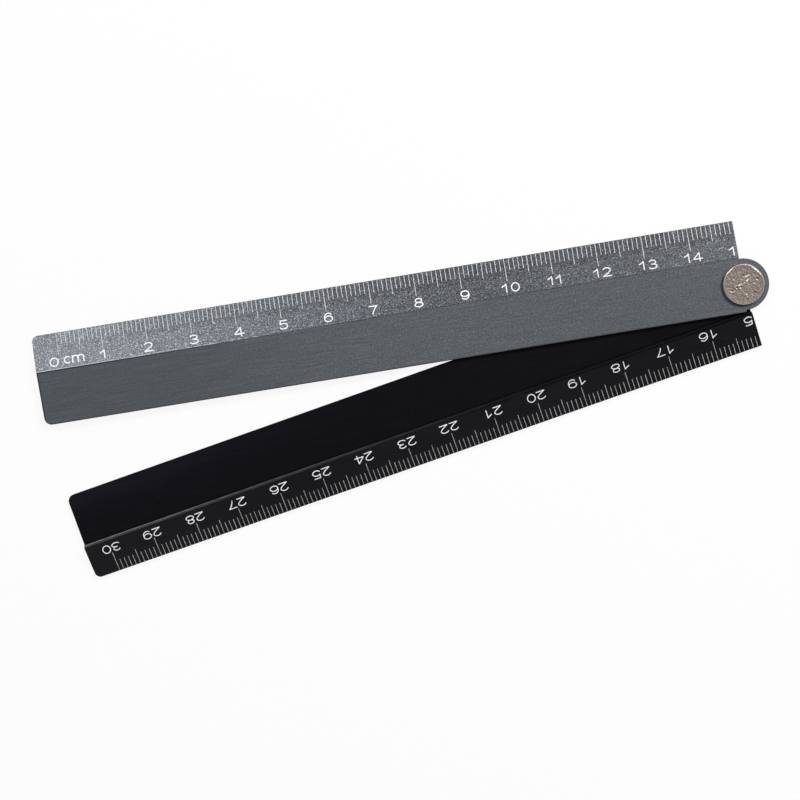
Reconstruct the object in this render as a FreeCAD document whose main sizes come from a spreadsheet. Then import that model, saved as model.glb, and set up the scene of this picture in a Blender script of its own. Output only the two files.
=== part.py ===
"""Folding metal ruler: two 15 cm arms on one rivet, 30 cm when opened out.

Millimetres. The origin is on the pivot axis at the table plane, +Z up.
The grey arm runs from the pivot along -X, its scale edge towards +Y. The
black arm is its mirror image, nested under it, and is turned open about Z.
"""
import FreeCAD, Part
import os
import re
import Sketcher

# Sizes that can be set by themselves: name, value, meaning.
DRIVING_SIZES = [
    ("scale_length", 150.0, "graduated length of one arm"),
    ("end_margin", 5.5, "plain end beyond the outermost graduation"),
    ("cut_gap", 0.1, "from the pivot line to the cut end of each strip"),
    ("opening_angle", 10.33, "angle between the arms as they lie"),
    ("scale_offset", 13.9, "from the pivot axis to the scale edge"),
    ("total_thick", 2.0, "thickness at the inner line of the grey strip"),
    ("edge_thick", 0.85, "thickness left at the scale edge"),
    ("grey_strip_width", 8.1, "bevelled strip of the grey arm"),
    ("ridge_step", 0.08, "from the grey strip's inner line down to its band"),
    ("black_band_thick", 0.95, "band of the black arm"),
    ("leaf_gap", 0.12, "room between the two bands"),
    ("grey_free_edge", 6.05, "from the pivot axis to the grey free edge"),
    ("edge_relief", 0.45, "slanted underside of the grey free edge"),
    ("black_free_edge", 5.55, "from the pivot axis to the black free edge"),
    ("side_clear", 0.2, "sideways room between the nested arms"),
    ("wall_run", 0.75, "width of the slanted wall of the black arm"),
    ("strip_corner", 1.3, "corner radius at the scale edge"),
    ("band_corner", 1.6, "corner radius at the free edge"),
    ("edge_break", 0.12, "broken upper corner of the free edges and knuckles"),
    ("tick_pitch", 1.0, "from one graduation to the next"),
    ("tick_width", 0.18, "width of a graduation"),
    ("tick_depth", 0.05, "depth of a graduation"),
    ("grey_tick_short", 2.7, "millimetre graduation of the grey arm"),
    ("grey_tick_middle", 3.7, "half centimetre graduation of the grey arm"),
    ("grey_tick_long", 5.0, "centimetre graduation of the grey arm"),
    ("black_tick_short", 2.5, "millimetre graduation of the black arm"),
    ("black_tick_middle", 3.35, "half centimetre graduation of the black arm"),
    ("black_tick_long", 4.45, "centimetre graduation of the black arm"),
    ("shank_radius", 2.0, "rivet shank, tight in the grey arm"),
    ("fit_clear", 0.04, "running clearance round the shank in the black arm"),
    ("head_radius", 4.38, "rivet head"),
    ("head_height", 0.78, "rivet head above the grey band"),
    ("head_round", 0.22, "round along the rim of the head"),
    ("sink_depth", 0.6, "countersink in the underside of the black arm"),
    ("sink_half_angle", 60.0, "half angle of that countersink"),
    ("tail_clear", 0.05, "room between the spread tail and the countersink"),
    ("washer_radius", 5.0, "slip washer between the bands"),
    ("washer_thick", 0.1, "thickness of the slip washer"),
]

# Sizes that follow from those above: name, formula.
DERIVED_SIZES = [
    ("arm_length", "scale_length + end_margin"),
    ("strip_length", "arm_length - cut_gap"),
    ("bevel_slope", "(total_thick - edge_thick) / grey_strip_width"),
    ("bevel_angle", "atan(bevel_slope)"),
    ("grey_ridge", "scale_offset - grey_strip_width"),
    ("grey_top", "total_thick - ridge_step"),
    ("grey_under", "black_band_thick + leaf_gap"),
    ("grey_wall", "black_free_edge + side_clear"),
    ("grey_knuckle", "grey_free_edge - edge_relief"),
    ("black_wall_foot", "grey_knuckle + side_clear"),
    ("black_ridge", "black_wall_foot + wall_run"),
    ("black_ridge_height", "edge_thick + bevel_slope * (scale_offset - black_ridge)"),
    ("half_centimetre", "5 * tick_pitch"),
    ("centimetre", "10 * tick_pitch"),
    ("hole_radius", "shank_radius + fit_clear"),
    ("sink_radius", "hole_radius + sink_depth * tan(sink_half_angle)"),
    ("tail_height", "sink_depth - tail_clear"),
    ("tail_radius", "shank_radius + tail_height * tan(sink_half_angle)"),
    ("head_top", "grey_top + head_height"),
]

SIZE_NAMES = [entry[0] for entry in DRIVING_SIZES + DERIVED_SIZES]
GROUP_TICKS = (1, 2, 3, 4)
OVERRUN = 0.3

DOC = FreeCAD.newDocument("folding_ruler")


def make_sheet():
    """Keep every size in one sheet, under its own name."""
    sheet = DOC.addObject("Spreadsheet::Sheet", "Sizes")
    row = 0
    for name, value, meaning in DRIVING_SIZES:
        row += 1
        sheet.set("A%d" % row, name)
        sheet.set("B%d" % row, str(value))
        sheet.set("C%d" % row, meaning)
        sheet.setAlias("B%d" % row, name)
    DOC.recompute()
    for name, rule in DERIVED_SIZES:
        row += 1
        sheet.set("A%d" % row, name)
        sheet.set("B%d" % row, "=" + rule)
        sheet.setAlias("B%d" % row, name)
        DOC.recompute()
    return sheet


def bound(rule):
    """A rule in which every size name points at its cell of the sheet."""
    return re.sub(r"[a-z_]+", lambda word: "Sizes." + word[0] if word[0] in SIZE_NAMES else word[0], rule)


def measure(rule):
    """What a rule comes to now, in millimetres."""
    return float(DOC.Sizes.evalExpression(bound(rule)))


def new_body(label):
    """An empty body, named as its piece is."""
    body = DOC.addObject("PartDesign::Body", label)
    body.Label = label
    return body


def origin_part(body, role):
    """One of the body's own origin planes or axes."""
    return [part for part in body.Origin.OriginFeatures if part.Role == role][0]


def new_sketch(body, name, role, height=None):
    """A sketch on one of the body's origin planes, or a height above it."""
    sketch = body.newObject("Sketcher::SketchObject", name)
    sketch.AttachmentSupport = [(origin_part(body, role), "")]
    sketch.MapMode = "FlatFace"
    if height:
        sketch.setExpression("AttachmentOffset.Base.z", bound(height))
    return sketch


def hold(sketch, edge, end, across, up):
    """Hold one point of the sketch at a place given by two rules."""
    for kind, axis, rule in (("DistanceX", -2, across), ("DistanceY", -1, up)):
        if rule == "0":
            sketch.addConstraint(Sketcher.Constraint("PointOnObject", edge, end, axis))
        else:
            number = sketch.addConstraint(Sketcher.Constraint(kind, -1, 1, edge, end, measure(rule)))
            sketch.setExpression("Constraints[%d]" % number, bound(rule))


def draw_outline(sketch, corners):
    """A closed outline of straight lines through the given corners."""
    points = [FreeCAD.Vector(measure(across), measure(up), 0) for across, up in corners]
    count = len(points)
    lines = [Part.LineSegment(points[i], points[(i + 1) % count]) for i in range(count)]
    first = sketch.addGeometry(lines)[0]
    for i, (across, up) in enumerate(corners):
        following = first + (i + 1) % count
        sketch.addConstraint(Sketcher.Constraint("Coincident", first + i, 2, following, 1))
        hold(sketch, first + i, 1, across, up)


def draw_circle(sketch, radius):
    """A circle about the sketch's origin."""
    edge = sketch.addGeometry(Part.Circle(FreeCAD.Vector(), FreeCAD.Vector(0, 0, 1), measure(radius)))
    sketch.addConstraint(Sketcher.Constraint("Coincident", edge, 3, -1, 1))
    number = sketch.addConstraint(Sketcher.Constraint("Radius", edge, measure(radius)))
    sketch.setExpression("Constraints[%d]" % number, bound(radius))


def draw_corner_waste(sketch, side, edge_place, radius):
    """What a rounded outer corner takes away: a square less a quarter disc.

    side is +1 for a corner that faces +Y and -1 for one that faces -Y.
    """
    sign = "" if side > 0 else "-"
    start_across = "-arm_length + %s" % radius
    end_up = "%s(%s - %s)" % (sign, edge_place, radius)
    outer_up = "%s(%s + %s)" % (sign, edge_place, OVERRUN)
    outer_across = "-arm_length - %s" % OVERRUN
    path = [
        (start_across, "%s(%s)" % (sign, edge_place)),
        (start_across, outer_up),
        (outer_across, outer_up),
        (outer_across, end_up),
        ("-arm_length", end_up),
    ]
    points = [FreeCAD.Vector(measure(across), measure(up), 0) for across, up in path]
    lines = [Part.LineSegment(points[i], points[i + 1]) for i in range(len(points) - 1)]
    first = sketch.addGeometry(lines)[0]
    last = first + len(lines) - 1
    for i in range(first, last):
        sketch.addConstraint(Sketcher.Constraint("Coincident", i, 2, i + 1, 1))
    for i, (across, up) in enumerate(path[:-1]):
        hold(sketch, first + i, 1, across, up)
    hold(sketch, last, 2, *path[-1])
    centre = FreeCAD.Vector(measure(start_across), measure(end_up), 0)
    quarter = Part.Circle(centre, FreeCAD.Vector(0, 0, 1), measure(radius))
    turns = (90.0, 180.0) if side > 0 else (180.0, 270.0)
    begin, finish = [FreeCAD.Units.Quantity(turn, "deg").getValueAs("rad").Value for turn in turns]
    arc = sketch.addGeometry(Part.ArcOfCircle(quarter, begin, finish))
    near_end, far_end = (1, 2) if side > 0 else (2, 1)
    sketch.addConstraint(Sketcher.Constraint("Coincident", arc, near_end, first, 1))
    sketch.addConstraint(Sketcher.Constraint("Coincident", arc, far_end, last, 2))
    number = sketch.addConstraint(Sketcher.Constraint("Radius", arc, measure(radius)))
    sketch.setExpression("Constraints[%d]" % number, bound(radius))


def add_feature(body, kind, name, sketch=None, grows=None, **settings):
    """Add one feature, finish it and see that it changed the solid as meant."""
    before = body.Shape.Volume if body.Tip and not body.Shape.isNull() else 0.0
    feature = body.newObject(kind, name)
    if sketch:
        feature.Profile = sketch
    for key, value in settings.items():
        if isinstance(value, str) and re.search(r"[a-z]_[a-z]", value):
            feature.setExpression(key, bound(value))
        else:
            setattr(feature, key, value)
    body.Tip = feature
    DOC.recompute()
    change = body.Shape.Volume - before
    if grows is not None and (change > 0) != grows:
        raise ValueError("%s changed the volume by %.4f" % (name, change))
    return feature


def cut_graduations(body, side, lengths):
    """Engrave the scale: short, middle and long lines from the scale edge.

    The lines lie in the bevelled face, square to the edge, and each kind
    repeats along the whole scale. side is +1 where the edge faces +Y.
    """
    short, middle, long = lengths
    kinds = [
        ("long_lines", long, (0,), "centimetre"),
        ("middle_lines", middle, (GROUP_TICKS[-1] + 1,), "half_centimetre * 2"),
        ("short_lines", short, GROUP_TICKS, "half_centimetre"),
    ]
    outward = "" if side > 0 else "-"
    inward = "-" if side > 0 else ""
    for name, length, steps, repeat in kinds:
        sketch = new_sketch(body, "%s_%s" % (body.Label, name), "XY_Plane", "edge_thick")
        sketch.AttachmentOffset = FreeCAD.Placement(FreeCAD.Vector(), FreeCAD.Rotation(FreeCAD.Vector(1, 0, 0), side))
        sketch.setExpression("AttachmentOffset.Base.y", bound(outward + "scale_offset"))
        sketch.setExpression("AttachmentOffset.Rotation.Angle", bound(inward + "bevel_angle"))
        for step in steps:
            middle_line = "-scale_length + %d * tick_pitch" % step
            left = middle_line + " - tick_width / 2"
            right = middle_line + " + tick_width / 2"
            outer = "%s%s" % (outward, OVERRUN)
            inner = inward + length
            draw_outline(sketch, [(left, inner), (right, inner), (right, outer), (left, outer)])
        pocket = add_feature(body, "PartDesign::Pocket", sketch.Name + "_cut", sketch, False, Length="tick_depth")
        add_feature(
            body, "PartDesign::LinearPattern", sketch.Name + "_row", None, False,
            Originals=[pocket], Direction=(sketch, ["H_Axis"]), Mode="Spacing",
            Offset=repeat + " + 0 * tick_pitch", Occurrences="floor(scale_length / (%s))" % repeat)


def make_arm(label, side, section, knuckle, free_edge, hole, lengths):
    """One arm: strip and band in one section, knuckle, corners, hole, scale."""
    body = new_body(label)
    profile = new_sketch(body, label + "_section", "YZ_Plane", "-cut_gap")
    draw_outline(profile, section)
    add_feature(body, "PartDesign::Pad", label + "_length", profile, True, Length="strip_length", Reversed=True)
    turning = new_sketch(body, label + "_knuckle", "XZ_Plane")
    draw_outline(turning, knuckle)
    add_feature(body, "PartDesign::Revolution", label + "_knuckle_turn", turning, True,
                ReferenceAxis=(turning, ["V_Axis"]), Angle=360.0)
    waste = new_sketch(body, label + "_corners", "XY_Plane")
    draw_corner_waste(waste, side, "scale_offset", "strip_corner")
    draw_corner_waste(waste, -side, free_edge, "band_corner")
    add_feature(body, "PartDesign::Pocket", label + "_corner_cut", waste, False, Type="ThroughAll", Midplane=True)
    bore = new_sketch(body, label + "_hole", "XZ_Plane")
    draw_outline(bore, hole)
    add_feature(body, "PartDesign::Groove", label + "_hole_turn", bore, False,
                ReferenceAxis=(bore, ["V_Axis"]), Angle=360.0)
    cut_graduations(body, side, lengths)
    return body


def make_grey_arm():
    """The upper arm, 0 to 15 cm: full-thickness strip, band in the upper half."""
    section = [
        ("-grey_free_edge", "grey_under + edge_relief"),
        ("-grey_knuckle", "grey_under"),
        ("grey_wall", "grey_under"),
        ("grey_wall", "0"),
        ("scale_offset", "0"),
        ("scale_offset", "edge_thick"),
        ("grey_ridge", "total_thick"),
        ("grey_ridge - ridge_step", "grey_top"),
        ("-grey_free_edge + edge_break", "grey_top"),
        ("-grey_free_edge", "grey_top - edge_break"),
    ]
    knuckle = [
        ("0", "grey_under"),
        ("grey_knuckle", "grey_under"),
        ("grey_knuckle", "grey_top - edge_break"),
        ("grey_knuckle - edge_break", "grey_top"),
        ("0", "grey_top"),
    ]
    hole = [
        ("0", "grey_under - %s" % OVERRUN),
        ("shank_radius", "grey_under - %s" % OVERRUN),
        ("shank_radius", "grey_top + %s" % OVERRUN),
        ("0", "grey_top + %s" % OVERRUN),
    ]
    lengths = ("grey_tick_short", "grey_tick_middle", "grey_tick_long")
    return make_arm("grey_arm", 1, section, knuckle, "grey_free_edge", hole, lengths)


def make_black_arm():
    """The lower arm, 15 to 30 cm: band in the lower half, slanted wall, strip."""
    section = [
        ("black_free_edge", "0"),
        ("black_free_edge", "black_band_thick - edge_break"),
        ("black_free_edge - edge_break", "black_band_thick"),
        ("-black_wall_foot", "black_band_thick"),
        ("-black_ridge", "black_ridge_height"),
        ("-scale_offset", "edge_thick"),
        ("-scale_offset", "0"),
    ]
    knuckle = [
        ("0", "0"),
        ("black_free_edge", "0"),
        ("black_free_edge", "black_band_thick - edge_break"),
        ("black_free_edge - edge_break", "black_band_thick"),
        ("0", "black_band_thick"),
    ]
    hole = [
        ("0", "-%s" % OVERRUN),
        ("sink_radius", "-%s" % OVERRUN),
        ("sink_radius", "0"),
        ("hole_radius", "sink_depth"),
        ("hole_radius", "black_band_thick + %s" % OVERRUN),
        ("0", "black_band_thick + %s" % OVERRUN),
    ]
    lengths = ("black_tick_short", "black_tick_middle", "black_tick_long")
    body = make_arm("black_arm", -1, section, knuckle, "black_free_edge", hole, lengths)
    body.Placement = FreeCAD.Placement(FreeCAD.Vector(), FreeCAD.Rotation(FreeCAD.Vector(0, 0, 1), 1))
    body.setExpression("Placement.Rotation.Angle", bound("opening_angle"))
    return body


def make_rivet():
    """Round flat head on the grey arm, shank, and a tail spread flush below."""
    body = new_body("pivot_rivet")
    profile = new_sketch(body, "rivet_profile", "XZ_Plane")
    draw_outline(profile, [
        ("0", "0"),
        ("tail_radius", "0"),
        ("shank_radius", "tail_height"),
        ("shank_radius", "grey_top"),
        ("head_radius", "grey_top"),
        ("head_radius", "head_top"),
        ("0", "head_top"),
    ])
    turned = add_feature(body, "PartDesign::Revolution", "rivet_turn", profile, True,
                         ReferenceAxis=(profile, ["V_Axis"]), Angle=360.0)
    rim = [
        "Edge%d" % (i + 1) for i, edge in enumerate(turned.Shape.Edges)
        if edge.BoundBox.ZMin > measure("head_top - head_round / 2")
        and edge.BoundBox.XLength > measure("head_radius")
    ]
    add_feature(body, "PartDesign::Fillet", "rivet_rim", None, False, Base=(turned, rim), Radius="head_round")
    return body


def make_slip_washer():
    """A thin ring on the black band that keeps the two bands apart."""
    body = new_body("slip_washer")
    ring = new_sketch(body, "washer_ring", "XY_Plane", "black_band_thick")
    draw_circle(ring, "washer_radius")
    draw_circle(ring, "hole_radius")
    add_feature(body, "PartDesign::Pad", "washer_pad", ring, True, Length="washer_thick")
    return body


def check_and_write(bodies):
    """Stop on anything that failed to build, then write one file a piece."""
    for thing in DOC.Objects:
        if {"Invalid", "Error"} & set(thing.State):
            raise ValueError("%s did not build: %s" % (thing.Name, thing.State))
    for body in bodies:
        if body.Shape.isNull() or not body.Shape.isValid() or len(body.Shape.Solids) != 1:
            raise ValueError("%s is not one sound solid" % body.Label)
    os.makedirs("parts", exist_ok=True)
    for body in bodies:
        body.Shape.exportStep("parts/%s.step" % body.Label)
        print("%s %.2f mm3" % (body.Label, body.Shape.Volume))


make_sheet()
pieces = [make_grey_arm(), make_black_arm(), make_rivet(), make_slip_washer()]
DOC.recompute()
check_and_write(pieces)
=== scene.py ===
"""Looks of the folding metal ruler: marking ink, finishes, table, lamps and camera.

Lengths are written in millimetres and turned into metres where a mesh is made.
The grey arm lies along -X with its scale edge towards +Y. The black arm is the
mirror image, turned open about the pivot on the Z axis.
"""
import math

import bpy
import numpy as np
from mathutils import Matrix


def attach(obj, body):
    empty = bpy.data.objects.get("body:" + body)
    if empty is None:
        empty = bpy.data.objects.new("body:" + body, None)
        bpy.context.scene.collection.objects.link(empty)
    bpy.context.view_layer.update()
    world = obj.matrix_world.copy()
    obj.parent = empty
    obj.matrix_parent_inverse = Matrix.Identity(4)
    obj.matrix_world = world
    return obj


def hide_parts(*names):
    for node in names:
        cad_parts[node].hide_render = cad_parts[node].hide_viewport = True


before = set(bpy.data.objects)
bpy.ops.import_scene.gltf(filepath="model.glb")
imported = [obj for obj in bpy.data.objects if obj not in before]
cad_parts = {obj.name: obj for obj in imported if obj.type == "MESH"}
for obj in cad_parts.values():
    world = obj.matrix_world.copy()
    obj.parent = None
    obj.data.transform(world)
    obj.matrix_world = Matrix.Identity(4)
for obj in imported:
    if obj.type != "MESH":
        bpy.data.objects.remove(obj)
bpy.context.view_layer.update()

MM = 0.001

# Sizes of the arms that the ink and the finishes have to meet. Distances across an arm
# are counted from the pivot.
SCALE_LENGTH = 150
CM = 10
SCALE_OFFSET = 13.9
EDGE_THICK = 0.85
BEVEL_RISE = 1.15
BEVEL_WIDTH = 8.1
BEVEL = math.atan(BEVEL_RISE / BEVEL_WIDTH)
OPENING = math.radians(10.33)
STRIP_INNER = 5.8
BLACK_WALL_FOOT = 5.8
BLACK_RIDGE = 6.55
ARM_END = 155.5

# The marking ink in the engraved lines: widths, where a line starts from the scale edge
# and stops short of its groove, heights against the strip, and the three lengths.
GREY_LINE_WIDTH = 0.118
BLACK_LINE_WIDTH = 0.09
LINE_START = 0.13
LINE_STOP = 0.005
LINE_FLOOR = -0.049
LINE_TOP = -0.004
GREY_LINES = (2.7, 3.7, 5.0)
BLACK_LINES = (2.5, 3.35, 4.45)

# The printed figures: heights against the strip, with a step from bar to bar that keeps
# crossing bars apart, then sizes. The signs before FULLER_UP_TO are printed fuller.
FIGURE_FLOOR = -0.01
FIGURE_TOP = 0.016
LAYER_STEP = 0.0012
GREY_FIGURE_HEIGHT = 2.07
BLACK_FIGURE_HEIGHT = 1.92
LETTER_HEIGHT = 1.70
LETTER_RISE = 0.24
GREY_STROKE = 0.25
BLACK_STROKE = 0.197
FULLER = 1.16
FULLER_UP_TO = -139
# The foot of each row of figures: its distance from the scale edge at the outer end,
# and how much further in it lies for each millimetre towards the pivot.
GREY_ROW = (7.51, 0.0006)
BLACK_ROW = (6.42, 0.0042)
# Offsets along the scale from a line to its single figure, or to the two figures of its
# number. On the black arm those of 16 to 19 differ from the rest.
GREY_SINGLE = 0.31
GREY_PAIR = (-0.40, 1.56)
BLACK_TEENS = (0.30, -1.60)
BLACK_PAIR = (1.23, -1.03)
# Numbers, and second figures of numbers, that stand a little off that rule.
NUMBER_SHIFTS = {2: -0.25, 4: 0.17, 9: 0.20, 17: 0.15, 22: -0.15, 28: 0.10, 29: -0.16, 30: 0.10}
SECOND_SHIFTS = {11: -0.14, 21: -0.27}

# The rivet: its outline, then how finely its skin is drawn.
TAIL_RADIUS = 2.953
TAIL_HEIGHT = 0.55
SHANK_RADIUS = 2.0
HEAD_RADIUS = 4.38
HEAD_BOTTOM = 1.92
HEAD_TOP = 2.70
RIM_ROUND = 0.22
HEAD_SEGMENTS = 300
RIM_STEPS = 10
FACE_RINGS = 56
SHARP_ANGLE = math.radians(50)
# The wear of its face: (height, size of a grain, seed) on a lattice of random heights,
# pits and troughs. The higher FACE_FADE is, the closer to the rim the wear fades out.
FACE_GRAINS = [(0.044, 0.28, 3), (0.024, 0.16, 8)]
LATTICE = 72
PIT_DEPTH = 0.07
TROUGH_DEPTH = 0.04
FACE_FADE = 14
# Where the rim is worn rounder: direction and half spread in degrees, added rounding.
RIM_WEAR = [(41.0, 20.0, 0.32), (128.0, 8.0, 0.16)]
# Marks on the rivet's face, in millimetres from the pivot: light scored ones as
# (centre, turn in degrees, half lengths), dark pits as (centre, radius).
LIGHT_MARKS = [
    ((-0.95, 0.12), 8.0, (1.05, 0.18)),
    ((0.80, 0.80), 34.0, (1.15, 0.15)),
    ((0.95, 1.75), 12.0, (0.8, 0.22)),
    ((0.35, -2.15), 0.0, (0.26, 0.26)),
    ((1.5, -2.6), 60.0, (0.5, 0.12)),
]
DARK_MARKS = [
    ((-1.55, -0.45), 0.24), ((-0.75, -0.5), 0.20), ((2.15, -2.1), 0.22), ((0.15, 1.95), 0.20),
    ((2.95, 0.75), 0.20), ((-2.75, -1.0), 0.22), ((-2.2, -0.75), 0.16)]


def arc(centre, radii, start, end, steps=14):
    """Points of an ellipse: centre plus radii times cosine and sine of the turning angle."""
    turn = np.radians(np.linspace(start, end, steps))
    return np.stack([centre[0] + radii[0] * np.cos(turn), centre[1] + radii[1] * np.sin(turn)], 1)


def bend(start, pull, end, steps=8):
    """Points of a parabola from start to end, drawn towards the pull point half way."""
    t = np.linspace(0, 1, steps)[:, None]
    start, pull, end = np.array(start), np.array(pull), np.array(end)
    return (1 - t) ** 2 * start + 2 * t * (1 - t) * pull + t ** 2 * end


def run(*corners):
    """A straight run through the given corners."""
    return np.array(corners, float)


def joined(*runs):
    """Several runs one after the other as one line, without the doubled joints."""
    return np.concatenate([runs[0]] + [piece[1:] for piece in runs[1:]])


# Centrelines of the figures in a box from -1 to 1 across and 0 to 1 up. Each
# entry is a line and the way it ends: "loop", "square" or "cut".
SIX = [
    (arc((0, 0.33), (0.96, 0.33), 0, 360, 28)[:-1], "loop"),
    (arc((0.04, 0.5), (1.0, 0.5), 40, 196, 16), "cut"),
]
FIGURES = {
    "0": [(arc((0, 0.5), (1.0, 0.5), 0, 360, 32)[:-1], "loop")],
    "1": [
        (run((0, 0.04), (0, 1)), "square"),
        (bend((0.05, 1.0), (-0.50, 0.83), (-1.22, 0.69)), "cut"),
    ],
    "2": [
        (joined(arc((0, 0.72), (0.93, 0.28), 168, -32, 16),
                bend((0.789, 0.572), (0.42, 0.36), (-0.95, 0.03))), "cut"),
        (run((-0.92, 0), (0.98, 0)), "square"),
    ],
    "3": [
        (arc((-0.04, 0.765), (0.84, 0.235), 160, -90, 18), "cut"),
        (arc((-0.04, 0.265), (1.0, 0.265), 90, -162, 20), "cut"),
        (run((-0.36, 0.53), (0.0, 0.53)), "cut"),
    ],
    "4": [
        (run((0.36, 0), (0.36, 1)), "square"),
        (run((0.30, 1.0), (-1.0, 0.32)), "square"),
        (run((-1.0, 0.27), (0.98, 0.27)), "square"),
    ],
    "5": [
        (run((-0.66, 1.0), (0.8, 1.0)), "square"),
        (run((-0.66, 1.0), (-0.82, 0.50)), "cut"),
        (arc((-0.02, 0.33), (0.98, 0.33), 148, -158, 22), "cut"),
    ],
    "6": SIX,
    "7": [
        (run((-0.95, 0.97), (0.95, 0.97)), "square"),
        (bend((0.92, 0.95), (-0.05, 0.50), (-0.32, -0.03)), "cut"),
    ],
    "8": [
        (arc((0, 0.765), (0.82, 0.235), 0, 360, 26)[:-1], "loop"),
        (arc((0, 0.265), (1.0, 0.265), 0, 360, 28)[:-1], "loop"),
    ],
    "9": [(np.array([0, 1]) - line, end) for line, end in SIX],
    "c": [(arc((0.08, 0.5), (1.05, 0.5), 48, 312, 20), "cut")],
    "m": [
        (run((-1, 0), (-1, 1)), "square"),
        (joined(arc((-0.5, 0.62), (0.5, 0.38), 180, 0, 12), run((0, 0.62), (0, -0.12))), "cut"),
        (joined(arc((0.5, 0.62), (0.5, 0.38), 180, 0, 12), run((1, 0.62), (1, -0.12))), "cut"),
    ],
}
LETTERS = "cm"
PLAIN_WIDTH = 1.98
WIDTHS = {"0": 1.92, "1": 1.84, "4": 2.10, "7": 1.95, "8": 1.92, "c": 1.70, "m": 2.80}


def skin_between(rings, segments, closed=False):
    """Four-sided faces from each ring of points to the next one, and from the last ring
    back to the first if they are closed."""
    ring = np.arange(rings if closed else rings - 1)[:, None]
    ahead = (ring + 1) % rings
    side = np.arange(segments)[None, :]
    beside = (side + 1) % segments
    corners = [(ring, side), (ring, beside), (ahead, beside), (ahead, side)]
    return np.stack([one * segments + two for one, two in corners], -1).reshape(-1, 4)


def ribbon(centreline, ending, width, low, high):
    """A flat bar carried along a centreline: at each point the section runs half the
    width to both sides along the normal, from low to high. A loop closes on itself, a
    square end reaches half the width further, a cut end stops at its point.
    Returns corner points (across, up, lift) and four-sided faces."""
    line = np.array(centreline, float)
    closed = ending == "loop"
    if ending == "square":
        first = line[0] - line[1]
        last = line[-1] - line[-2]
        line[0] += first / np.linalg.norm(first) * width / 2
        line[-1] += last / np.linalg.norm(last) * width / 2
    count = len(line)
    if closed:
        along = np.roll(line, -1, 0) - np.roll(line, 1, 0)
    else:
        along = np.gradient(line, axis=0)
    along /= np.linalg.norm(along, axis=1)[:, None]
    normal = np.stack([-along[:, 1], along[:, 0]], 1)
    left = line + normal * width / 2
    right = line - normal * width / 2
    rings = np.empty((count, 4, 3))
    rings[:, 0, :2] = rings[:, 3, :2] = left
    rings[:, 1, :2] = rings[:, 2, :2] = right
    rings[:, :2, 2] = high
    rings[:, 2:, 2] = low
    faces = skin_between(count, 4, closed)
    if not closed:
        end = (count - 1) * 4
        faces = np.concatenate([faces, [[3, 2, 1, 0], [end, end + 1, end + 2, end + 3]]])
    return rings.reshape(-1, 3), faces


def gather(parts):
    """Many bars as one set of points and faces."""
    points, faces, offset = [], [], 0
    for some_points, some_faces in parts:
        points.append(some_points)
        faces.append(some_faces + offset)
        offset += len(some_points)
    return np.concatenate(points), np.concatenate(faces)


def lay_on_bevel(points, side):
    """Places (along the arm, distance from the scale edge, lift) on the bevelled strip:
    the distance runs down the slope from the edge, the lift stands square on it.
    side is +1 for the grey arm and -1 for the black one, which is then turned open."""
    along, inward, lift = points.T
    out = SCALE_OFFSET - inward * math.cos(BEVEL) + lift * math.sin(BEVEL)
    height = EDGE_THICK + inward * math.sin(BEVEL) + lift * math.cos(BEVEL)
    placed = np.stack([along, side * out, height], 1)
    if side < 0:
        c, s = math.cos(OPENING), math.sin(OPENING)
        placed = placed @ np.array([[c, s, 0], [-s, c, 0], [0, 0, 1]])
    return placed * MM


def new_piece(name, points, faces, body, slot):
    """A mesh piece in metres at the origin, riding on a body."""
    mesh = bpy.data.meshes.new(name)
    mesh.from_pydata(points.tolist(), [], faces)
    mesh.validate()
    piece = bpy.data.objects.new(name, mesh)
    bpy.context.scene.collection.objects.link(piece)
    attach(piece, body)
    return piece


def smooth(mesh):
    """Shades all faces of a mesh as one smooth surface."""
    mesh.polygons.foreach_set("use_smooth", np.ones(len(mesh.polygons), bool))


def box_faces(inside_out):
    """The six faces of a block whose corners count across, then inward, then up."""
    faces = np.array([
        [0, 2, 3, 1], [4, 5, 7, 6], [0, 1, 5, 4], [2, 6, 7, 3], [0, 4, 6, 2], [1, 3, 7, 5]])
    return faces[:, ::-1] if inside_out else faces


def scale_lines(side, lengths, width):
    """The ink in the engraved lines: one thin block a millimetre, its length short,
    middle or long by whether its number divides by five and by ten."""
    number = np.arange(1, SCALE_LENGTH + 1)
    short, middle, long = lengths
    length = np.where(number % 10 == 0, long, np.where(number % 5 == 0, middle, short))
    reach = length[:, None] - LINE_START - LINE_STOP
    corner = np.array([[i, j, k] for k in (0, 1) for j in (0, 1) for i in (0, 1)], float)
    points = np.empty((len(number), 8, 3))
    points[:, :, 0] = -number[:, None] + (corner[:, 0] - 0.5) * width
    points[:, :, 1] = LINE_START + corner[:, 1] * reach
    points[:, :, 2] = LINE_FLOOR + corner[:, 2] * (LINE_TOP - LINE_FLOOR)
    faces = (np.arange(len(number))[:, None, None] * 8 + box_faces(side > 0)).reshape(-1, 4)
    return lay_on_bevel(points.reshape(-1, 3), side), faces.tolist()


def figure(sign, stroke, figure_height, widened):
    """One figure or letter as bars, centred across, standing on zero, in millimetres."""
    width = WIDTHS.get(sign, PLAIN_WIDTH) * widened - stroke
    tall, foot = (LETTER_HEIGHT, LETTER_RISE) if sign in LETTERS else (figure_height, 0)
    bars = []
    for layer, (line, ending) in enumerate(FIGURES[sign]):
        drawn = line * np.array([width / 2, tall - stroke]) + np.array([0, stroke / 2 + foot])
        bars.append(ribbon(drawn, ending, stroke, FIGURE_FLOOR, FIGURE_TOP + layer * LAYER_STEP))
    return gather(bars)


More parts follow.
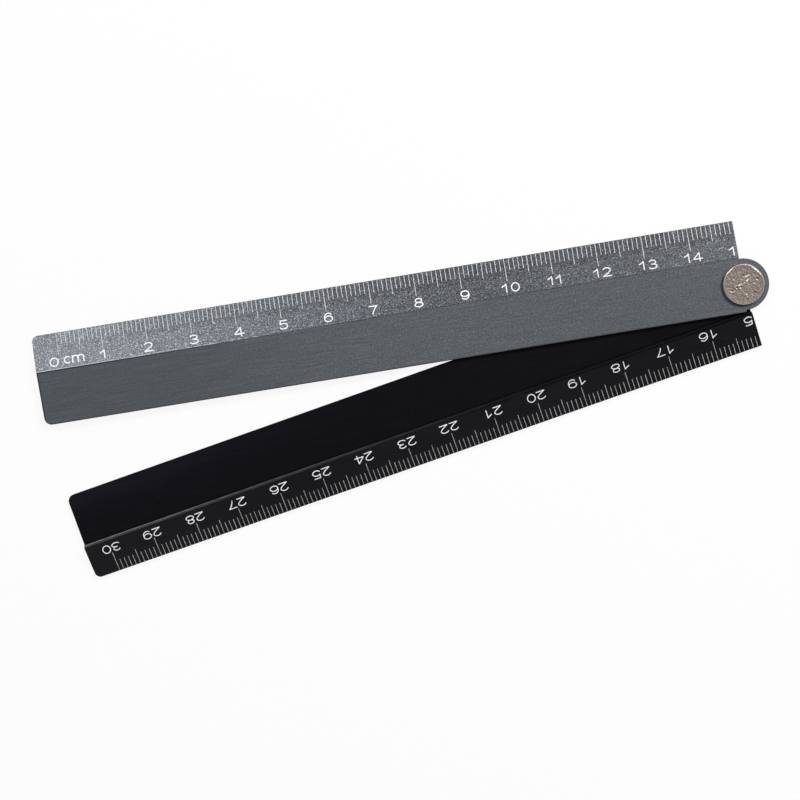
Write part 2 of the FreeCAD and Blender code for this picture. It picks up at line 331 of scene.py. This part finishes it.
def figures_row(side, placed, stroke, height, row):
    """All figures of one arm. placed holds (sign, where it stands along the scale, how
    much wider than usual it is). On the grey arm they read along +X, on the black arm
    along -X. All heads point at the scale edge; the feet stand on a row whose distance
    from that edge is its start at the outer end plus a rise for each millimetre from there."""
    start, rise = row
    parts = []
    for sign, where, widened in placed:
        fuller = FULLER if side > 0 and where < FULLER_UP_TO else 1.0
        points, faces = figure(sign, stroke * fuller, height, widened)
        along = where + side * points[:, 0]
        inward = start + rise * (along + SCALE_LENGTH) - points[:, 1]
        parts.append((np.stack([along, inward, points[:, 2]], 1), faces))
    points, faces = gather(parts)
    return lay_on_bevel(points, side), faces.tolist()


def pair(number, line, offsets):
    """The two figures of a number, each at its offset from the line they belong to."""
    first, second = line + offsets[0], line + offsets[1] + SECOND_SHIFTS.get(number, 0.0)
    return [(str(number // 10), first, 1.0), (str(number % 10), second, 1.0)]


def grey_placing():
    """Where each figure of the grey arm stands: 0 cm, 1 to 9, 10 to 14 and the 1 of 15."""
    placed = [("0", -151.16, 1.08), ("c", -148.15, 1.0), ("m", -145.75, 1.0), ("1", -139.8, 1.04)]
    for number in range(2, 10):
        line = CM * number - SCALE_LENGTH + NUMBER_SHIFTS.get(number, 0.0)
        placed.append((str(number), line + GREY_SINGLE, 1.08 if number < 5 else 1.03))
    for number in range(10, 14):
        placed += pair(number, CM * number - SCALE_LENGTH, GREY_PAIR)
    return placed + [("1", -10.62, 1.0), ("4", -8.64, 1.0), ("1", -0.96, 1.0)]


def black_placing():
    """Where each figure of the black arm stands: the 5 of 15, then 16 to 30."""
    placed = [("5", -1.4, 1.0)]
    for number in range(16, 31):
        line = SCALE_LENGTH - CM * number + NUMBER_SHIFTS.get(number, 0.0)
        placed += pair(number, line, BLACK_TEENS if number < 20 else BLACK_PAIR)
    return placed


def uneven(x, y, cell, seed):
    """Smooth random heights from 0 to 1: values on a square lattice, eased from corner to
    corner by three times the square of the way less twice its cube."""
    lattice = np.random.default_rng(seed).random((LATTICE, LATTICE))
    u, v = x / cell + LATTICE / 2, y / cell + LATTICE / 2
    column, row = np.floor(u).astype(int), np.floor(v).astype(int)
    ease_u, ease_v = [(3 - 2 * part) * part ** 2 for part in (u - column, v - row)]
    near = lattice[column, row] * (1 - ease_u) + lattice[column + 1, row] * ease_u
    far = lattice[column, row + 1] * (1 - ease_u) + lattice[column + 1, row + 1] * ease_u
    return near * (1 - ease_v) + far * ease_v


def worn_depth(x, y):
    """How far the rivet's face is worn down: two grains of unevenness, a bowl with the
    profile of a bell curve for each pit, and a shallow trough for each scored mark."""
    depth = sum(height * uneven(x, y, cell, seed) for height, cell, seed in FACE_GRAINS)
    for (cx, cy), radius in DARK_MARKS:
        depth += PIT_DEPTH * np.exp(-((x - cx) ** 2 + (y - cy) ** 2) / radius ** 2)
    for (cx, cy), turn, (half_length, half_width) in LIGHT_MARKS:
        c, s = math.cos(math.radians(turn)), math.sin(math.radians(turn))
        along = ((x - cx) * c + (y - cy) * s) / half_length
        across = (-(x - cx) * s + (y - cy) * c) / half_width
        depth += TROUGH_DEPTH * np.exp(-along ** 4 - across ** 2)
    return depth


def worn_rivet():
    """The rivet as one turned skin from the middle of its tail to the middle of its head.
    The rim is a quarter round whose radius grows where it is worn, by a bell curve of
    the direction; inside it the face is lowered by its worn depth, which fades out
    towards the rim."""
    turn = np.linspace(0, 2 * math.pi, HEAD_SEGMENTS, endpoint=False)[None, :]
    rounding = RIM_ROUND + np.zeros_like(turn)
    for direction, spread, more in RIM_WEAR:
        off = (turn - math.radians(direction) + math.pi) % (2 * math.pi) - math.pi
        rounding += more * np.exp(-(off / math.radians(spread)) ** 4)
    body = np.array([
        (TAIL_RADIUS, 0.0), (SHANK_RADIUS, TAIL_HEIGHT),
        (SHANK_RADIUS, HEAD_BOTTOM), (HEAD_RADIUS, HEAD_BOTTOM)])
    rise = np.radians(np.linspace(0, 90, RIM_STEPS))[:, None]
    share = np.linspace(1, 0, FACE_RINGS + 2)[1:-1, None]
    inner = HEAD_RADIUS - rounding
    radius = np.concatenate([
        body[:, :1] + 0 * turn, inner + rounding * np.cos(rise), inner * share])
    x, y = radius * np.cos(turn), radius * np.sin(turn)
    face = len(body) + RIM_STEPS
    worn = worn_depth(x[face:], y[face:]) * (1 - share ** FACE_FADE)
    height = np.concatenate([
        body[:, 1:] + 0 * turn, HEAD_TOP - rounding + rounding * np.sin(rise), HEAD_TOP - worn])
    middle_depth = float(worn_depth(np.zeros(1), np.zeros(1))[0])
    points = np.concatenate([
        np.stack([x, y, height], -1).reshape(-1, 3), [[0, 0, 0], [0, 0, HEAD_TOP - middle_depth]]])
    rings = len(radius)
    skin = skin_between(rings, HEAD_SEGMENTS)
    here = np.arange(HEAD_SEGMENTS)
    after = (here + 1) % HEAD_SEGMENTS
    last = (rings - 1) * HEAD_SEGMENTS
    bottom = here * 0 + rings * HEAD_SEGMENTS
    fans = np.concatenate([
        np.stack([bottom, after, here], 1), np.stack([bottom + 1, last + here, last + after], 1)])
    return points * MM, skin.tolist() + fans.tolist()


grey_lines = new_piece(
    "grey_scale_lines", *scale_lines(1, GREY_LINES, GREY_LINE_WIDTH), "upper_arm", "scale_ink")
black_lines = new_piece(
    "black_scale_lines", *scale_lines(-1, BLACK_LINES, BLACK_LINE_WIDTH), "lower_arm", "scale_ink")
grey_figures = new_piece(
    "grey_figures",
    *figures_row(1, grey_placing(), GREY_STROKE, GREY_FIGURE_HEIGHT, GREY_ROW),
    "upper_arm", "scale_ink")
black_figures = new_piece(
    "black_figures",
    *figures_row(-1, black_placing(), BLACK_STROKE, BLACK_FIGURE_HEIGHT, BLACK_ROW),
    "lower_arm", "scale_ink")

rivet = new_piece("worn_rivet", *worn_rivet(), "upper_arm", "rivet_steel")
smooth(rivet.data)
rivet.data.set_sharp_from_angle(angle=SHARP_ANGLE)
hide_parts("pivot_rivet")


# Finishes.

# Clear anodising: stops of the blasted grain and of the brushing, as (place, grey level).
BLASTED_GRAIN = [(0.28, 0.018), (0.43, 0.066), (0.56, 0.122), (0.72, 0.44)]
GREY_BRUSHING = [(0.25, 0.094), (0.5, 0.130), (0.78, 0.172)]
# Black anodising: stops of the brushing on the band and on the strip, the strip's lighter as
# painted reflection.
BLACK_BAND = [(0.3, (0.0023, 0.0021, 0.0034)), (0.7, (0.0048, 0.0045, 0.0067))]
BLACK_STRIP = [(0.3, (0.0068, 0.0065, 0.0079)), (0.7, (0.0112, 0.0107, 0.0128))]
# Painted light on the slanted wall, and painted shade along its foot and along its ridge.
BLACK_WALL_LIGHT = (0.0070, 0.0066, 0.0078)
WALL_FOOT_SHADE = (0.0002, 0.0002, 0.0002)
RIDGE_SHADE = (0.0005, 0.0005, 0.0005)
# Painted light and shade along an arm: (where it starts, where it is full, level).
GREY_STRIP_LIGHTING = [(-45.0, -5.0, 0.8)]
GREY_BAND_LIGHTING = [(-85.0, -125.0, 0.86), (-75.0, -5.0, 0.85)]
BLACK_BAND_LIGHTING = [(-38.0, -18.0, 0.6)]
BLACK_STRIP_LIGHTING = [(-48.0, -20.0, 0.85), (-105.0, -155.0, 1.35)]
# The slanted wall gets painted highlights along its ridge and along its foot: (place, share)
# between the two distances across the arm given next.
WALL_HIGHLIGHT_FROM = -6.8
WALL_HIGHLIGHT_TO = -5.8
WALL_HIGHLIGHT_LINES = [
    (0.27, 0.0), (0.33, 0.45), (0.41, 0.45), (0.47, 0.12), (0.56, 0.12), (0.64, 1.0),
    (0.75, 1.0), (0.81, 0.08), (0.86, 0.0)]
WALL_HIGHLIGHT = (0.285, 0.285, 0.30)
# The painted highlight where the grey arm's strip and band meet.
RIDGE_HIGHLIGHT = (0.66, 0.68, 0.70)
# Grime and painted shadow round the rivet's head.
GRIME_AND_SHADOW = (0.028, 0.022, 0.019)
DUST = (0.03, 0.03, 0.034)
# The rivet's steel: its grain from dark to light, then scored marks, pits and rim; the rim is
# lightened as worn metal and as painted highlight.
STEEL_GRAIN = [
    (0.30, (0.11, 0.082, 0.066)), (0.44, (0.27, 0.217, 0.186)),
    (0.58, (0.38, 0.318, 0.278)), (0.72, (0.78, 0.72, 0.64))]
SCORED_STEEL = (0.78, 0.74, 0.68)
PIT_STEEL = (0.07, 0.05, 0.038)
RIM_STEEL_AND_HIGHLIGHT = (0.64, 0.61, 0.58)
FILM = [(0.3, (0.68, 0.67, 0.62)), (0.7, (0.78, 0.77, 0.73))]
# The share of the table's look that doesn't depend on the light.
TABLE_GLOW = 0.9


def connect(tree, entry, socket):
    """Gives a socket its entry: a link from another node, a number, a vector or a colour."""
    if isinstance(entry, bpy.types.NodeSocket):
        tree.links.new(entry, socket)
    elif socket.type == "RGBA" and len(entry) == 3:
        socket.default_value = (*entry, 1)
    else:
        socket.default_value = entry


def add_node(tree, kind, **settings):
    """A node with its properties set by name and its inputs by their labels."""
    node = tree.nodes.new("ShaderNode" + kind)
    for key, value in settings.items():
        if key == "inputs":
            for label, entry in value.items():
                connect(tree, entry, node.inputs[label])
        else:
            setattr(node, key, value)
    return node


def empty_material(name):
    """A material whose node tree holds nothing yet."""
    material = bpy.data.materials.new(name)
    material.use_nodes = True
    material.node_tree.nodes.clear()
    return material, material.node_tree


def show(tree, shader):
    """Sends a shader to the surface."""
    output = add_node(tree, "OutputMaterial")
    tree.links.new(shader.outputs[0], output.inputs[0])


def new_finish(name, **constants):
    """An empty finish: its node tree and its shader, with the shader's own constants."""
    material, tree = empty_material(name)
    shader = add_node(tree, "BsdfPrincipled")
    show(tree, shader)
    for label, value in constants.items():
        shader.inputs[label.replace("_", " ")].default_value = value
    return material, tree, shader


def place_in_mm(tree, turn=0.0, stretch=(1, 1, 1)):
    """Object coordinates in millimetres, turned to lie along the arm and stretched."""
    place = add_node(tree, "TexCoord").outputs["Object"]
    scale = tuple(part / MM for part in stretch)
    return add_node(tree, "Mapping", inputs={
        "Vector": place, "Rotation": (0, 0, turn), "Scale": scale}).outputs[0]


def along_and_across(tree, place):
    """The places along and across the arm."""
    split = add_node(tree, "SeparateXYZ", inputs={"Vector": place})
    return split.outputs[0], split.outputs[1]


def arithmetic(tree, operation, first, second, clamp=False):
    """One step of arithmetic."""
    return add_node(
        tree, "Math", operation=operation, use_clamp=clamp, inputs={0: first, 1: second}).outputs[0]


def times(tree, first, second):
    """The product of two values."""
    return arithmetic(tree, "MULTIPLY", first, second)


def plus(tree, first, second, clamp=False):
    """The sum of two values."""
    return arithmetic(tree, "ADD", first, second, clamp)


def ramp_between(tree, value, low, high, start=0.0, end=1.0, smooth=True):
    """A value read from low to high as a share from start to end."""
    return add_node(
        tree, "MapRange", interpolation_type="SMOOTHSTEP" if smooth else "LINEAR", inputs={
            "Value": value, "From Min": low, "From Max": high, "To Min": start, "To Max": end,
        }).outputs[0]


def band_share(tree, value, low, high, soft):
    """1 between low and high, falling to 0 over the soft distance on both sides."""
    rising = ramp_between(tree, value, low - soft, low)
    falling = ramp_between(tree, value, high, high + soft, 1.0, 0.0)
    return times(tree, rising, falling)


def noise(tree, place, scale, detail=2.0, rough=0.5):
    """A noise value between 0 and 1, its scale in grains a millimetre."""
    return add_node(tree, "TexNoise", inputs={
        "Vector": place, "Scale": scale, "Detail": detail, "Roughness": rough}).outputs[0]


def colours(tree, value, stops):
    """A colour ramp through (place, colour) stops."""
    node = add_node(tree, "ValToRGB", inputs={"Fac": value})
    ramp = node.color_ramp
    while len(ramp.elements) < len(stops):
        ramp.elements.new(0.5)
    for element, (place, colour) in zip(ramp.elements, stops):
        element.position = place
        element.color = (*colour, 1)
    return node.outputs[0]


def blend(tree, share, first, second, how="MIX"):
    """Two colours mixed by a share. Sockets 0, 6 and 7 of the node take the share and the
    colours, socket 2 gives the result."""
    return add_node(tree, "Mix", data_type="RGBA", blend_type=how, inputs={
        0: share, 6: first, 7: second}).outputs[2]


def dimmed(tree, share, colour, level):
    """A colour brought down, or up, to a level by a share."""
    return blend(tree, share, colour, blend(tree, 1.0, colour, (level,) * 3, "MULTIPLY"))


def toned(tree, along, colour, tones):
    """A colour with its painted light and shade along the arm."""
    for start, full, level in tones:
        colour = dimmed(tree, ramp_between(tree, along, start, full), colour, level)
    return colour


def grey(level):
    """A grey with the slight blue of clear anodising."""
    return (level * 0.93, level, level * 1.11)


def grey_stops(stops):
    """Stops of a grey ramp, given by their levels."""
    return [(place, grey(level)) for place, level in stops]


def facing_up(tree):
    """How far a place on the piece faces upwards: 1 flat on top, 0 on an upright side."""
    normal = add_node(tree, "TexCoord").outputs["Normal"]
    return add_node(tree, "SeparateXYZ", inputs={"Vector": normal}).outputs[2]


def distance(tree, place):
    """How far a place lies from the zero point."""
    far = add_node(tree, "VectorMath", operation="LENGTH", inputs={0: place})
    return far.outputs["Value"]


def ring_about_pivot(tree, place, inner, outer, soft):
    """1 between two radii, in millimetres, fading out over the soft distance."""
    flat = add_node(tree, "VectorMath", operation="MULTIPLY", inputs={0: place, 1: (1, 1, 0)})
    return band_share(tree, distance(tree, flat.outputs[0]), inner, outer, soft)


def surface(tree, shader, colour, height, strength, depth, rough=None):
    """Gives a shader its colour, its fine relief, so many metres deep, and its roughness."""
    tree.links.new(colour, shader.inputs["Base Color"])
    bump = add_node(tree, "Bump", inputs={
        "Strength": strength, "Distance": depth, "Height": height})
    tree.links.new(bump.outputs[0], shader.inputs["Normal"])
    if rough is not None:
        tree.links.new(rough, shader.inputs["Roughness"])


def grey_arm_finish():
    """Grey anodised aluminium: blasted grain on the strip, lengthwise brushing on the band."""
    material, tree, shader = new_finish("grey_anodised_aluminium", Metallic=0.5)
    place = place_in_mm(tree)
    along, across = along_and_across(tree, place)
    strip = ramp_between(tree, across, STRIP_INNER - 0.06, STRIP_INNER + 0.02)

    # The strip is less grainy towards the outer end, where painted light also makes it lighter;
    # painted shade makes it darker near the pivot. It is also darker beside the scale edge.
    grain = noise(tree, place_in_mm(tree, stretch=(0.85, 1.15, 1.0)), 4.0, detail=1.5, rough=0.65)
    strip_colour = colours(tree, grain, grey_stops(BLASTED_GRAIN))
    outer_end = ramp_between(tree, along, -66.0, -155.0)
    strip_colour = blend(tree, times(tree, outer_end, 0.25), strip_colour, grey(0.135))
    strip_colour = dimmed(tree, outer_end, strip_colour, 2.5)
    strip_colour = toned(tree, along, strip_colour, GREY_STRIP_LIGHTING)
    near_pivot_dimming = band_share(tree, along, -62.0, -22.0, 14.0)
    strip_colour = dimmed(tree, near_pivot_dimming, strip_colour, 0.86)
    lined = times(tree, ramp_between(tree, across, 9.6, 11.0),
                  ramp_between(tree, along, -146.0, -125.0, 0.35, 1.0))
    strip_colour = dimmed(tree, lined, strip_colour, 0.78)

    # The band is brushed and sprinkled with light and dark specks, fainter towards the outer end.
    # Painted light and shade change its tone along the arm, and painted shade darkens it at its
    # free edge and at its outer end.
    brushed_place = place_in_mm(tree, stretch=(0.09, 5.2, 5.2))
    brushed = noise(tree, brushed_place, 1.0, detail=3.0, rough=0.6)
    band_colour = colours(tree, brushed, grey_stops(GREY_BRUSHING))
    specks = noise(tree, place, 3.2, rough=0.7)
    speckled = ramp_between(tree, along, -60.0, -140.0, 1.0, 0.45)
    light_specks = times(tree, speckled, ramp_between(tree, specks, 0.54, 0.74))
    band_colour = blend(tree, light_specks, band_colour, grey(0.27))
    dark_specks = times(tree, speckled, ramp_between(tree, specks, 0.46, 0.26))
    band_colour = blend(tree, dark_specks, band_colour, grey(0.05))
    band_colour = toned(tree, along, band_colour, GREY_BAND_LIGHTING)
    free_edge = ramp_between(tree, across, -5.6, -5.85)
    band_colour = dimmed(tree, free_edge, band_colour, 0.78)
    end_shade = ramp_between(tree, along, 0.45 - ARM_END, 0.2 - ARM_END, 0.0, 0.75)
    band_colour = blend(tree, end_shade, band_colour, grey(0.02))

    # A painted highlight, broken up, runs where strip and band meet, with a painted shade beside
    # it; both are stronger towards the outer end. Upright sides get painted shade.
    broken = noise(tree, place, 1.3, detail=3.0, rough=0.7)
    fading = ramp_between(tree, along, -75.0, -155.0, -0.14, 0.34, smooth=False)
    ridge_highlight = times(tree, ramp_between(tree, plus(tree, broken, fading), 0.52, 0.76),
                        band_share(tree, across, 5.82, 5.92, 0.04))
    line_shade = times(tree, ramp_between(tree, along, -105.0, -145.0, 0.0, 0.8),
                       band_share(tree, across, 5.54, 5.74, 0.08))
    band_colour = blend(tree, line_shade, band_colour, grey(0.03))
    colour = blend(tree, strip, band_colour, strip_colour)
    colour = blend(tree, ridge_highlight, colour, RIDGE_HIGHLIGHT)
    shaded_sides = ramp_between(tree, facing_up(tree), 0.97, 0.85)
    colour = dimmed(tree, shaded_sides, colour, 0.25)

    # Grime and painted shadow round the rivet's head, the painted shadow strongest on the side away
    # from the key lamp.
    away = ramp_between(tree, plus(tree, along, times(tree, across, 0.8)), 3.0, -3.5, 0.1, 0.45)
    grime_and_shadow = times(tree, ring_about_pivot(tree, place, 4.3, 4.65, 0.42), away)
    colour = blend(tree, grime_and_shadow, colour, GRIME_AND_SHADOW)

    rough = plus(tree, ramp_between(tree, strip, 0, 1, 0.42, 0.5), times(tree, brushed, 0.08))
    relief = plus(tree, times(tree, grain, strip),
                  times(tree, brushed, ramp_between(tree, strip, 0, 1, 0.12, 0.0)))
    surface(tree, shader, colour, relief, strength=0.35, depth=0.00006, rough=rough)
    return material


def black_arm_finish():
    """Black anodised aluminium, smooth and satin, a little lighter on the strip as painted
    reflection. The slanted wall between band and strip gets painted highlights towards the outer
    end."""
    material, tree, shader = new_finish(
        "black_anodised_aluminium", Metallic=0.0, Specular_IOR_Level=0.09)
    place = place_in_mm(tree, -OPENING)
    along, across = along_and_across(tree, place)
    strip = ramp_between(tree, across, -BLACK_RIDGE + 0.1, -BLACK_RIDGE - 0.1)
    brushed_place = place_in_mm(tree, -OPENING, stretch=(0.08, 4.0, 4.0))
    brushed = noise(tree, brushed_place, 1.0, detail=3.0, rough=0.6)

    # Painted light makes the band lighter at its free corner and painted shade makes it darker near
    # the pivot; the strip's painted light and shade run the same way.
    band_colour = colours(tree, brushed, BLACK_BAND)
    lit_outer_end = times(tree, ramp_between(tree, along, -75.0, -150.0),
                        ramp_between(tree, across, -1.5, 5.0, 0.15, 1.0))
    band_colour = dimmed(tree, lit_outer_end, band_colour, 2.1)
    band_colour = toned(tree, along, band_colour, BLACK_BAND_LIGHTING)
    strip_colour = colours(tree, brushed, BLACK_STRIP)
    strip_colour = toned(tree, along, strip_colour, BLACK_STRIP_LIGHTING)
    colour = blend(tree, strip, band_colour, strip_colour)

    # Upright sides get painted shade. The wall gets a lighter tone of painted light, a line of
    # painted shade along its foot and, towards the pivot, one along its ridge.
    facing = facing_up(tree)
    colour = dimmed(tree, ramp_between(tree, facing, 0.97, 0.85), colour, 0.3)
    wall = band_share(tree, across, -BLACK_RIDGE + 0.02, -BLACK_WALL_FOOT - 0.02, 0.04)
    foot = band_share(tree, across, -BLACK_WALL_FOOT - 0.12, -BLACK_WALL_FOOT + 0.12, 0.04)
    ridge_shade = times(tree, band_share(tree, across, -6.54, -6.38, 0.05),
                        ramp_between(tree, along, -115.0, -60.0))
    colour = blend(tree, wall, colour, BLACK_WALL_LIGHT)
    colour = blend(tree, foot, colour, WALL_FOOT_SHADE)
    colour = blend(tree, ridge_shade, colour, RIDGE_SHADE)

    # Painted highlight lines on the wall, broken into dashes, seen from above only, stronger
    # towards the outer end.
    scored_place = add_node(tree, "Mapping", inputs={
        "Vector": place, "Rotation": (0, 0, 0.03), "Scale": (0.45, 2.2, 2.2)}).outputs[0]
    scored = noise(tree, scored_place, 1.0, rough=0.6)
    scored = ramp_between(tree, scored, 0.34, 0.66, 0.5, 1.0)
    wall_highlight = colours(
        tree, ramp_between(tree, across, WALL_HIGHLIGHT_FROM, WALL_HIGHLIGHT_TO, smooth=False),
        [(at, (share,) * 3) for at, share in WALL_HIGHLIGHT_LINES])
    fading = ramp_between(tree, along, -45.0, -165.0, smooth=False)
    wall_highlight = times(tree, wall_highlight, arithmetic(tree, "POWER", fading, 1.7))
    wall_highlight = times(tree, times(tree, wall_highlight, scored), ramp_between(tree, facing, 0.2, 0.5))
    colour = blend(tree, wall_highlight, colour, WALL_HIGHLIGHT)

    dust = noise(tree, place, 1.1)
    colour = blend(tree, ramp_between(tree, dust, 0.74, 0.80), colour, DUST)
    rough = ramp_between(tree, noise(tree, place, 0.35), 0.2, 0.8, 0.34, 0.44)
    surface(tree, shader, colour, brushed, strength=0.1, depth=0.00002, rough=rough)
    return material


def mark(tree, place, centre, turn, size):
    """A soft-edged oval mark on the rivet's face: 1 within about half of its size, in
    millimetres, fading out a little past it."""
    local = add_node(tree, "Mapping", vector_type="TEXTURE", inputs={
        "Vector": place, "Location": (*centre, 0), "Rotation": (0, 0, math.radians(turn)),
        "Scale": (*size, 100.0)})
    return ramp_between(tree, distance(tree, local.outputs[0]), 1.15, 0.55)


def rivet_finish():
    """Worn steel with a warm tint: granular face, light scored marks, dark pits, and a rim made
    bright by wear and by painted highlight.
    """
    material, tree, shader = new_finish("rivet_steel", Metallic=0.8)
    place = place_in_mm(tree)
    grain = noise(tree, place, 3.0, rough=0.7)
    face = colours(tree, grain, STEEL_GRAIN)
    flaked = ramp_between(tree, noise(tree, place, 2.4, rough=0.75), 0.34, 0.58)
    for centre, turn, size in LIGHT_MARKS:
        share = times(tree, mark(tree, place, centre, turn, size), flaked)
        face = blend(tree, share, face, SCORED_STEEL)
    for centre, size in DARK_MARKS:
        face = blend(tree, mark(tree, place, centre, 0, (size, size)), face, PIT_STEEL)
    rim = ramp_between(tree, facing_up(tree), 0.93, 0.8)
    face = blend(tree, rim, face, RIM_STEEL_AND_HIGHLIGHT)
    rough = times(tree, ramp_between(tree, grain, 0.3, 0.7, 0.46, 0.3),
                  ramp_between(tree, rim, 0, 1, 1.0, 0.6))
    surface(tree, shader, face, grain, strength=0.3, depth=0.00004, rough=rough)
    return material


def washer_finish():
    """Natural plastic film with faint clouding."""
    material, tree, shader = new_finish("washer_film", Roughness=0.5)
    cloud = noise(tree, place_in_mm(tree), 0.8)
    tree.links.new(colours(tree, cloud, FILM), shader.inputs["Base Color"])
    return material


def ink_finish(name, thin, full, near_pivot_dimming=1.0):
    """White marking ink, matt, laid a little unevenly between a thin and a full coat, and duller
    near the pivot."""
    material, tree, shader = new_finish(name, Roughness=0.62, Specular_IOR_Level=0.25)
    place = place_in_mm(tree)
    cloud = noise(tree, place, 1.6, detail=3.0, rough=0.6)
    colour = colours(tree, cloud, [
        (0.32, (thin, thin * 1.01, thin * 1.03)), (0.6, (full, full * 1.01, full * 1.02))])
    along, _ = along_and_across(tree, place)
    colour = dimmed(tree, band_share(tree, along, -42.0, -6.0, 14.0), colour, near_pivot_dimming)
    surface(tree, shader, colour, cloud, strength=0.15, depth=0.00002)
    return material


def wear_finish(piece, material):
    """Gives a piece one finish all over."""
    piece.data.materials.clear()
    piece.data.materials.append(material)


steel = rivet_finish()
figure_ink = ink_finish("white_figure_ink", 0.90, 0.98, 0.84)
for piece, finish in (
        (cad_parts["grey_arm"], grey_arm_finish()),
        (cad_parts["black_arm"], black_arm_finish()),
        (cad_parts["slip_washer"], washer_finish()),
        (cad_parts["pivot_rivet"], steel),
        (rivet, steel),
        (grey_lines, ink_finish("grey_arm_line_ink", 0.50, 0.92)),
        (black_lines, ink_finish("black_arm_line_ink", 0.34, 0.64)),
        (grey_figures, figure_ink),
        (black_figures, figure_ink)):
    wear_finish(piece, finish)


# Table, lamps and camera.

def table_finish():
    """White table: painted white where the camera, gloss or glass sees it, with the
    share of plain matt paint that keeps the ruler's shadow on it."""
    material, tree = empty_material("white_table")
    matt = add_node(tree, "BsdfDiffuse", inputs={"Color": (0.9, 0.9, 0.9)})
    glow = add_node(tree, "Emission", inputs={"Color": (1, 1, 1), "Strength": 1.0})
    rays = add_node(tree, "LightPath")
    seen = plus(tree, rays.outputs["Is Camera Ray"], rays.outputs["Is Glossy Ray"])
    seen = plus(tree, seen, rays.outputs["Is Transmission Ray"], clamp=True)
    share = times(tree, seen, TABLE_GLOW)
    show(tree, add_node(tree, "MixShader", inputs={
        0: share, 1: matt.outputs[0], 2: glow.outputs[0]}))
    return material


def white_cove(radius=3.0, bend=1.0, height=3.0, steps=12, segments=96):
    """A round table that curves up into a white wall, in metres: rings about the pivot,
    half way out and at the table's edge, then a quarter circle from flat to upright, then
    the top of the wall."""
    rise = np.linspace(0, math.pi / 2, steps + 1)[1:]
    out = np.concatenate([[radius / 2, radius], radius + bend * np.sin(rise), [radius + bend]])
    up = np.concatenate([[0, 0], bend - bend * np.cos(rise), [height]])[:, None]
    turn = np.linspace(0, 2 * math.pi, segments, endpoint=False)
    points = np.stack([
        out[:, None] * np.cos(turn), out[:, None] * np.sin(turn), up + 0 * turn], -1)
    inward = skin_between(len(out), segments)[:, [0, 3, 2, 1]]
    mesh = bpy.data.meshes.new("white_cove")
    mesh.from_pydata(
        points.reshape(-1, 3).tolist(), [], [list(range(segments))] + inward.tolist())
    smooth(mesh)
    cove = bpy.data.objects.new("white_cove", mesh)
    bpy.context.scene.collection.objects.link(cove)
    cove.data.materials.append(table_finish())
    return cove


white_cove()

world = bpy.data.worlds.new("studio")
bpy.context.scene.world = world
world.use_nodes = True
background = world.node_tree.nodes["Background"]
background.inputs["Color"].default_value = (0.97, 0.985, 1.0, 1)
background.inputs["Strength"].default_value = 0.33


def hang_lamp(name, place, aim, size, power):
    """A square soft lamp at a place in millimetres, turned to its aim."""
    data = bpy.data.lights.new(name, "AREA")
    data.shape = "SQUARE"
    data.size = size * MM
    data.energy = power
    lamp = bpy.data.objects.new(name, data)
    bpy.context.scene.collection.objects.link(lamp)
    here = np.array(place, float)
    toward = np.array(aim, float) - here
    from_vertical = math.atan2(math.hypot(toward[0], toward[1]), -toward[2])
    lamp.location = here * MM
    lamp.rotation_euler = (from_vertical, 0, math.atan2(toward[1], toward[0]) - math.pi / 2)


hang_lamp("key_lamp", place=(330, 280, 420), aim=(-40, 0, 0), size=130, power=2.9)
hang_lamp("left_lamp", place=(-250, 500, 480), aim=(-100, 0, 0), size=160, power=1.9)

# The camera was fitted to the lines and edges of the ruler in the photo.
camera_data = bpy.data.cameras.new("photo_camera")
camera_data.sensor_width = 36.0
camera_data.lens = 51.749
camera_data.clip_start = 0.01
camera_data.clip_end = 20.0
camera = bpy.data.objects.new("photo_camera", camera_data)
bpy.context.scene.collection.objects.link(camera)
camera.location = (-0.067377, -0.000429, 0.253136)
camera.rotation_euler = [math.radians(a) for a in (-3.155, 1.741, -9.243)]
bpy.context.scene.camera = camera
bpy.context.scene.view_settings.view_transform = "Standard"
